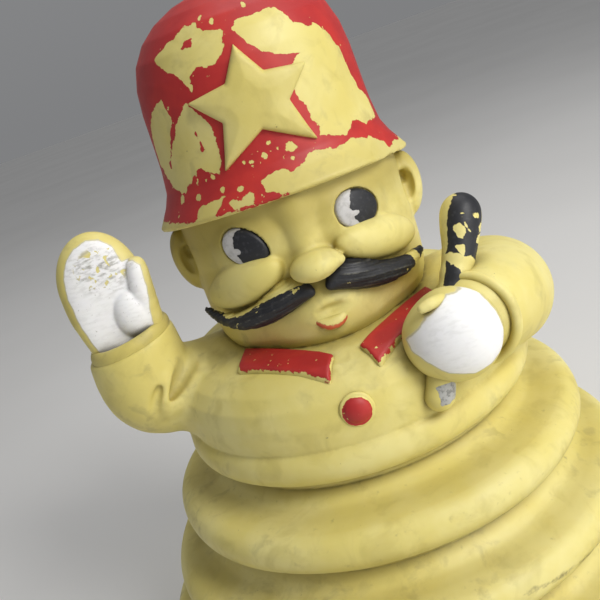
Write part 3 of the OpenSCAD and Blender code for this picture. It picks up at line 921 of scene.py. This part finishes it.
# Where the hat's paint has worn off: outlines of (angle from the front in degrees, height above the rim).
WORN = [
    [(-47, 39), (-40, 35.5), (-33, 34.5), (-30, 33), (-27, 29), (-30, 27.5), (-33, 27.5), (-43, 23),
     (-51, 18), (-58, 15), (-58, 14), (-50, 21), (-44, 25), (-47, 30), (-58, 28), (-66, 25), (-72, 22),
     (-74, 15), (-66, 11.5), (-58, 8.5), (-50, 7.5), (-45, 9.5), (-36, 12.5), (-31, 11.5), (-26, 10),
     (-24, 12), (-22, 19), (-25, 23.5), (-31, 27), (-25, 30), (-25, 32.5), (-20, 34), (-11, 33.6), (-4, 36),
     (-3, 39.5), (-9, 41), (-14, 41), (-17, 43.5), (-25, 43), (-36, 41.5)],
    [(1.5, 39.7), (6, 41), (15, 41), (30, 41), (33, 37), (42, 34), (46, 35), (54, 30.5), (60, 25), (66, 17),
     (73, 13), (70, 8.5), (55, 8.6), (48, 10.5), (43, 9.8), (38, 8.3), (31, 9.6), (25, 10.8), (26, 13),
     (23, 16), (24, 18), (20, 21), (20, 25), (26, 29), (30, 29.5), (19, 31), (12, 33), (6, 36.2)],
    [(-8.5, 5.8), (-4, 6.8), (2, 7.2), (6, 5.8), (11, 6.8), (17, 8.4), (28, 7.0), (40, 7.2), (50, 5.6),
     (60, 3.0), (62, -2), (5, -2), (2, 1.6), (-2, 2.6), (-5.5, 3.0)],
    [(-41, 1), (-38.5, 3.6), (-34, 4.8), (-29, 4.8), (-24, 5.4), (-27, 3.6), (-31, 1.5), (-33, -1)],
    [(-23.5, 3.6), (-21, 4.4), (-17, 3.6), (-15, 4.4), (-10, 4.8), (-13, 2), (-20, 2)],
    [(104, 40), (118, 36), (124, 26), (138, 22), (146, 30), (160, 38), (150, 43), (128, 44)],
    [(-112, 16), (-124, 24), (-140, 20), (-160, 12), (-150, 6), (-128, 8)],
    [(166, 4), (178, 7), (190, 5), (204, 8), (216, 3), (200, 0), (178, -1)],
    [(-170, 40), (-150, 42), (-144, 36), (-160, 32)],
]
# Red left inside the worn places.
KEPT = [
    [(-28, 39), (-25, 40.4), (-20, 40.6), (-21, 38.8)],
    [(-32.5, 21), (-31, 21.2), (-30, 16.5), (-31.5, 16)],
]
# Small bare spots: angle, height above the rim and radius.
SPOTS = [
    (0.5, 13.6, 0.6), (9.4, 10.8, 1.3), (-2.8, 11, 0.8), (-8, 12, 0.5), (-13, 11.2, 0.5), (-9.4, 10.4, 0.5),
    (4, 11.6, 0.4), (8.4, 8.4, 0.4), (-17.5, 5.8, 0.6), (-39.5, 6.3, 0.8), (-52, 6.2, 0.9), (-34, 9.6, 0.5),
    (-25.8, 6.5, 0.5), (-30, 9.8, 0.4), (32, 44.6, 1.6), (-7.5, 42.3, 0.8), (-14, 44.2, 0.6), (14, 43.6, 0.7),
]


def hat_paint_mask(p):
    """How far a point is inside the painted area, in millimetres."""
    across, angle = around_hat(p)
    above = p[2] - RIM_Z - 0.6
    mask = np.full(np.shape(across), 9.0)
    for outline in WORN:
        turned = (angle - outline[0][0] + 180) % 360 - 180 + outline[0][0]
        flat = [(math.radians(a) * HAT_BODY_R, z) for a, z in outline]
        mask = np.minimum(mask, polygon_distance(np.radians(turned) * HAT_BODY_R, above, flat))
    for outline in KEPT:
        flat = [(math.radians(a) * HAT_BODY_R, z) for a, z in outline]
        mask = np.maximum(mask, -polygon_distance(across, above, flat))
    for a, z, radius in SPOTS:
        mask = np.minimum(mask, length(across - math.radians(a) * HAT_BODY_R, above - z) - radius)
    edge = above - 1.3
    return np.minimum(mask, edge * 0.9)


def hat_dirt(p):
    """The hat's bare places are soiled, most of all on its rim."""
    return 0.18 + 0.42 * np.clip((RIM_Z + 12 - p[2]) / 8, 0, 1)


# ---- Hands and baton ----

PALM_TILT = 5.0


def mitten_field(p):
    """Open mitten with its palm forward, and the thumb laid along it."""
    field = egg(p, (-54.6, -10.6, 129.4), (11.3, 6.6, 14.8), tilt=PALM_TILT)
    field = join(field, limb(p, [(-55.0, -10.6, 109), (-55.4, -10.6, 121)], [8.6, 8.8]), 5.0)
    field = both(field, -(p[1] + 16.0) + 0.06 * (p[0] + 54), 2.6)
    pad = egg(p, (-48.8, -14.6, 120.8), (5.0, 3.6, 6.6), tilt=PALM_TILT)
    thumb = [(-45.8, -13, 116.5), (-44.6, -14, 125), (-43.5, -13.8, 132.2)]
    return join(join(field, limb(p, thumb, [3.3, 3.0, 2.5], 3, 1.0), 0.35), pad, 0.45)


PALM_OUTLINE = [
    (-62.9, 130), (-62.5, 121.5), (-61, 114.5), (-58, 109), (-46, 111), (-43.8, 121), (-42.4, 127),
    (-42, 132.6), (-43.4, 134.2), (-46.4, 134.6), (-47.4, 139.2), (-49.8, 141.7), (-53, 142.5),
    (-56.6, 141.6), (-59.6, 139.3), (-61.8, 135.4),
]


def palm_paint(p):
    """The palm and the thumb are painted, and the mitten's edge stays bare."""
    outline = polygon_distance(p[0], p[2], PALM_OUTLINE)
    front = -(p[1] + 12.6)
    return np.minimum(-outline, front * 1.5)


def palm_wear(p):
    """The palm's paint is rubbed under the fingertips."""
    return np.clip(1.25 - length((p[0] + 51.5) / 8.5, (p[2] - 135.0) / 6.5), 0, 1)


def cuff_field(p):
    """The rolled edge of the raised sleeve, round the wrist."""
    x, y, z = (p[i] - CUFF[i] for i in range(3))
    out = length((x + 0.5) / 10.0, y / 10.0)
    return (length((out - 1) * 10.0 / 1.6, (z - CUFF_RISE * x) / 2.3) - 1) * 1.6


def fist_field(p):
    """Closed hand seen from its back, flatter above its thumb."""
    field = egg(p, (24.6, -44.2, 98.6), (12.6, 9.8, 12.0), turn=-14)
    field = both(field, length(p[0] - 24.4, (p[1] + 44) * 0.9, p[2] - 98.8) - 12.0, 3.0)
    return both(field, 0.84 * (p[2] - 107.4) - 0.55 * (p[0] - 18), 2.4)


FIST_OUTLINE = [
    (13.9, 102), (19.4, 106.8), (25.4, 109.4), (30.2, 109), (33, 106.4), (34.8, 102.4), (35.4, 97.8),
    (33.8, 94.2), (30.2, 91.8), (25.8, 91.3), (20.4, 93.2), (16.6, 96.8), (14.2, 99.6),
]


def fist_paint(p):
    """The back of the hand is painted inside a rounded outline."""
    outline = polygon_distance(p[0], p[2], FIST_OUTLINE)
    return np.minimum(-outline, -(p[1] + 43.8))


def fist_cuff_field(p):
    """The sleeve's rolled edge behind the hand."""
    a = np.array([31.0, -39.6, 98.6])
    way = np.array([-0.62, -0.77, 0.12])
    way = way / np.linalg.norm(way)
    d = [p[i] - a[i] for i in range(3)]
    t = sum(d[i] * way[i] for i in range(3))
    out = np.sqrt(np.maximum(sum(q * q for q in d) - t * t, 0))
    return length(out - 10.5, t) - 1.3


def thumb_field(p):
    return limb(p, [(24, -46.6, 108.4), (21.4, -48.2, 109), (19, -48.8, 108.8)], [1.5, 1.4, 1.1], 3, 0.3)


BATON_TOP = (37.2, -27.6, 121.0)
BATON_MID = (32.6, -33.4, 112.0)
BATON_LOW = (17.2, -46.8, 87.4)


def baton_field(p):
    """A club that thickens towards its round top, through the fist."""
    path = [(24, -41, 99), BATON_MID, (35.8, -29.6, 118.2), BATON_TOP]
    return limb(p, path, [3.4, 3.8, 4.6, 4.7], 4, 0.8)


def baton_stub_field(p):
    field = bone(p, (20.6, -44.4, 93.5), (17.2, -46.6, 86.0), 3.6, 3.6)
    return both(field, -(p[2] - 82.6) + 0.25 * (p[0] - 17), 1.0)


def baton_mask(p):
    """Black on the front of the club, from near its top almost to the fist."""
    axis = np.array(BATON_TOP) - np.array(BATON_LOW)
    axis = axis / np.linalg.norm(axis)
    t = sum((p[i] - BATON_LOW[i]) * axis[i] for i in range(3))
    centre = [BATON_LOW[i] + t * axis[i] for i in range(3)]
    front = (p[0] - centre[0]) * 0.8 - (p[1] - centre[1]) * 0.6
    body = np.minimum((front + 0.4) * 0.8, (t - 32.0) * 0.5)
    patch = 2.4 - length(p[0] - 29.0, (p[2] - 109.6) * 0.7)
    bare = length(p[0] - 34.6, (p[2] - 118.8) * 0.7) - 1.2
    bare = np.minimum(bare, length(p[0] - 38.6, p[2] - 114.6) - 1.2)
    return np.minimum(np.maximum(body, np.minimum(patch, front)), bare)


def stub_mask(p):
    return np.minimum(-(p[1] + 47.0), 2.3 - np.maximum(np.abs(p[0] - 19.0), np.abs(p[2] - 87.4)))


# ---- Collar, button, eyes ----


# A collar tab's corners on the figure's left, seen from above: inner, outer, and then its lower edge.
COLLAR = [(3.9, -38.6), (24.6, -19.6), (26.9, -27.8), (6.3, -43.8)]


def collar_field(side):
    """A raised tab of the collar that follows the coat."""
    outline = [(0.3 + side * x, y) for x, y in COLLAR]

    def field(p):
        shell = coat_body(p)
        flat = polygon_distance(p[0], p[1], outline) - 0.5
        return both(both(flat, shell - 1.35, 0.9), -shell - 1.5)

    return field


def collar_mask(side):
    outline = [(0.3 + side * x, y) for x, y in COLLAR]

    def mask(p):
        shell = coat_body(p)
        flat = polygon_distance(p[0], p[1], outline)
        worn = 9.0 if side > 0 else (p[0] + 26.6) * 0.6
        return np.minimum(np.minimum(0.4 - flat, shell - 0.3), worn)

    return mask


BUTTON = middle("coat_button")


def button_field(p):
    dome = egg(p, BUTTON + [0, 0.6, -0.1], (3.8, 2.6, 3.8))
    across, ahead, up = (p[i] - BUTTON[i] for i in range(3))
    out = length(across, up)
    dome = both(dome, out - 3.5, 0.5)
    ring = length(out - 3.7, ahead - 0.1 - 0.09 * up) - 0.55
    return join(dome, ring, 0.4)


def button_mask(p):
    return 3.5 - length(p[0] - BUTTON[0] + 0.2, p[2] - BUTTON[2] + 0.2)


def eye_mask(side):
    """The pupil covers the figure's left two thirds of each eye, with a worn notch on its other side."""

    def mask(p):
        across, up = eye_place(p, side)
        pupil = 4.3 - length(across - 2.0, (up - 0.2) * 0.85)
        return np.minimum(pupil, length((across + 1.7) * 0.7, up + 0.6) - 0.7)

    return mask


# ---- Making every piece ----


def around(centre, reach):
    return np.array(centre) - reach, np.array(centre) + reach


def make_figure():
    sculpt("coat_and_sleeves", coat_field, (-70, -52, HEM_Z - 1.5), (62, 52, 118), 0.62, vinyl, "aged_vinyl",
           ["hem_roll", "coat", "raised_sleeve", "bent_sleeve"])
    low, high = (-39, -43, HEAD_LOW - 2), (38, 34, HEAD_TOP + 2)
    # The head's mask paints the rim's shadow on the forehead and shade on the figure's right temple, with
    # some dirt.
    sculpt("head_and_face", head_field, low, high, 0.45, vinyl, "aged_vinyl",
           ["head", "ear_left", "ear_right", "nose"], masks={"dirt_and_painted_shade": forehead_dirt_and_shadow})
    for side, sign in (("left", 1), ("right", -1)):
        low, high = around((FACE_X + sign * 15.5, -26, 115.5), (17, 14, 9))
        sculpt(f"half_moustache_{side}", moustache_field(sign), low, high, 0.3, moustache_paint,
               "black_paint", [f"moustache_{side}"],
               masks={"paint": moustache_mask(sign), "rubbed": rubbed_strands(sign)})
        low, high = around(on_face(EYE_ANGLES[sign], 30.5, EYE_Z), 8)
        sculpt(f"eyeball_{side}", eye_field(sign), low, high, 0.35, eye_paint, "eye_white",
               [f"eye_{side}", f"pupil_{side}"], masks={"paint": eye_mask(sign)})
        low, high = around((0.3 + sign * 16, -32, 98), (16, 17, 8))
        sculpt(f"collar_tab_{side}", collar_field(sign), low, high, 0.35, red_paint, "red_paint",
               [f"collar_{side}"], masks={"paint": collar_mask(sign)})
    sculpt("lip", lip_field, *around((1, -31, 108.5), (9, 6, 6)), 0.3, lip_paint, "lip_paint", ["lower_lip"],
           masks={"paint": lip_mask})
    sculpt("chest_button", button_field, *around(BUTTON, 6), 0.3, red_paint, "red_paint", ["coat_button"],
           masks={"paint": button_mask})


def make_hat():
    low, high = (-38, -37, RIM_Z - 5.5), (36, 37, HAT_TOP + 1.5)
    sculpt("tall_hat", hat_field, low, high, 0.6, hat_paint, "hat_paint", ["hat_crown", "hat_rim"],
           masks={"paint": hat_paint_mask, "dirt_and_painted_shade": hat_dirt})
    low, high = around((HAT_X, -25, STAR_Z), (18, 9, 18))
    sculpt("star", star_field, low, high, 0.4, vinyl, "bare_vinyl", ["hat_star"],
           masks={"dirt_and_painted_shade": lambda p: 0.38})


def make_hands():
    sculpt("open_mitten", mitten_field, (-68, -20, 98), (-38, 1, 148), 0.4, palm_white, "white_paint",
           ["raised_mitten", "raised_thumb"], masks={"paint": palm_paint, "worn": palm_wear})
    sculpt("raised_cuff", cuff_field, (-68, -24, 107), (-38, 3, 119), 0.4, vinyl, "aged_vinyl", [],
           masks={"dirt_and_painted_shade": lambda p: 0.4})
    sculpt("closed_fist", fist_field, (10, -57, 84), (39, -32, 113), 0.4, fist_white, "white_paint",
           ["fist"], masks={"paint": fist_paint})
    sculpt("fist_cuff", fist_cuff_field, (18, -52, 86), (46, -25, 114), 0.4, vinyl, "aged_vinyl", [])
    sculpt("thumb_tip", thumb_field, (12, -55, 104), (30, -44, 115), 0.35, vinyl, "aged_vinyl",
           ["fist_thumb"])
    sculpt("baton_club", baton_field, (18, -48, 92), (45, -20, 129), 0.4, baton_paint, "black_paint",
           ["baton_grip"], masks={"paint": baton_mask})
    sculpt("baton_end", baton_stub_field, (12, -52, 81), (27, -39, 99), 0.35, silver_paint, "silver_paint",
           ["baton_ferrule"], masks={"paint": stub_mask})


def dress_cad_nodes():
    """CAD nodes that stay in view keep their shape and get a finish."""
    finishes = {
        "foot_and_floor": vinyl,
        "squeaker_cup": aluminium,
        "squeaker_grille": aluminium,
        "reed_clamp": aluminium,
        "squeaker_retainer": aluminium,
        "reed_plate": brass,
        "reed": brass,
    }
    for node, material in finishes.items():
        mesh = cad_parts[node].data
        mesh.materials.clear()
        mesh.materials.append(material)


for bellows_level in (1, 2, 3, 4):
    make_valley(bellows_level)
make_figure()
make_hat()
make_hands()
dress_cad_nodes()


# ---- Floor, light and camera ----


def make_floor():
    bpy.ops.mesh.primitive_plane_add(size=12, location=(0, 0, -0.0002))
    floor = bpy.context.object
    floor.name = "pale_floor"
    paint = Paint("floor_paint")
    tint = paint.mix(paint.patches(0.3, 0.7, 260, 2), colour(0.8, 0.79, 0.77), colour(0.84, 0.83, 0.81))
    floor.data.materials.append(paint.finish(Base_Color=tint, Roughness=0.85))


def make_light(name, place, aim, size, power, tone=(1, 1, 1)):
    light = bpy.data.lights.new(name, "AREA")
    light.shape = "DISK"
    light.size, light.energy, light.color = size, power, tone
    lamp = bpy.data.objects.new(name, light)
    lamp.location = place
    lamp.rotation_euler = (Vector(aim) - Vector(place)).to_track_quat("-Z", "Y").to_euler()
    bpy.context.scene.collection.objects.link(lamp)


def make_lights():
    world = bpy.data.worlds.new("studio")
    bpy.context.scene.world = world
    world.use_nodes = True
    background = world.node_tree.nodes["Background"]
    background.inputs["Color"].default_value = (0.82, 0.83, 0.85, 1)
    tree = world.node_tree
    level = tree.nodes.new("ShaderNodeMapRange")
    level.inputs["From Max"].default_value = 0.5
    level.inputs["To Min"].default_value, level.inputs["To Max"].default_value = 0.26, 0.33
    height = tree.nodes.new("ShaderNodeSeparateXYZ")
    tree.links.new(tree.nodes.new("ShaderNodeTexCoord").outputs["Generated"], height.inputs[0])
    tree.links.new(height.outputs["Z"], level.inputs["Value"])
    tree.links.new(level.outputs["Result"], background.inputs["Strength"])
    aim = (0, 0, 0.11)
    make_light("key", (0.46, -0.46, 0.6), aim, 0.4, 4.7, (1.0, 0.985, 0.96))
    make_light("low", (0.6, -0.5, 0.12), aim, 0.5, 1.2, (1.0, 0.985, 0.96))
    make_light("top", (0.2, 0.2, 0.85), aim, 0.6, 1.6)


EYE_DISTANCE = 0.2436
EYE_HEIGHT_ANGLE = 28.1
FOLD_1_Z = 0.058


def make_camera():
    """The photograph's view: close, from in front and above, with the camera turned and rolled."""
    lift = math.radians(EYE_HEIGHT_ANGLE)
    place = EYE_DISTANCE * Vector((0, -math.cos(lift), math.sin(lift)))
    ahead, right = -place.normalized(), Vector((1, 0, 0))
    up = right.cross(ahead)
    for axis_name, angle in (("yaw", 1.9), ("pitch", 10.5), ("roll", 18.9)):
        axis = {"yaw": up, "pitch": right, "roll": ahead}[axis_name]
        turn = Matrix.Rotation(math.radians(angle), 3, axis.copy())
        ahead, right, up = turn @ ahead, turn @ right, turn @ up
    camera = bpy.data.cameras.new("camera")
    camera.lens, camera.sensor_width = 48, 36
    seat = bpy.data.objects.new("camera", camera)
    matrix = Matrix((right, up, -ahead)).transposed().to_4x4()
    matrix.translation = place + Vector((0, 0, FOLD_1_Z))
    seat.matrix_world = matrix
    bpy.context.scene.collection.objects.link(seat)
    bpy.context.scene.camera = seat


make_floor()
make_lights()
make_camera()
bpy.context.scene.view_settings.view_transform = "Standard"
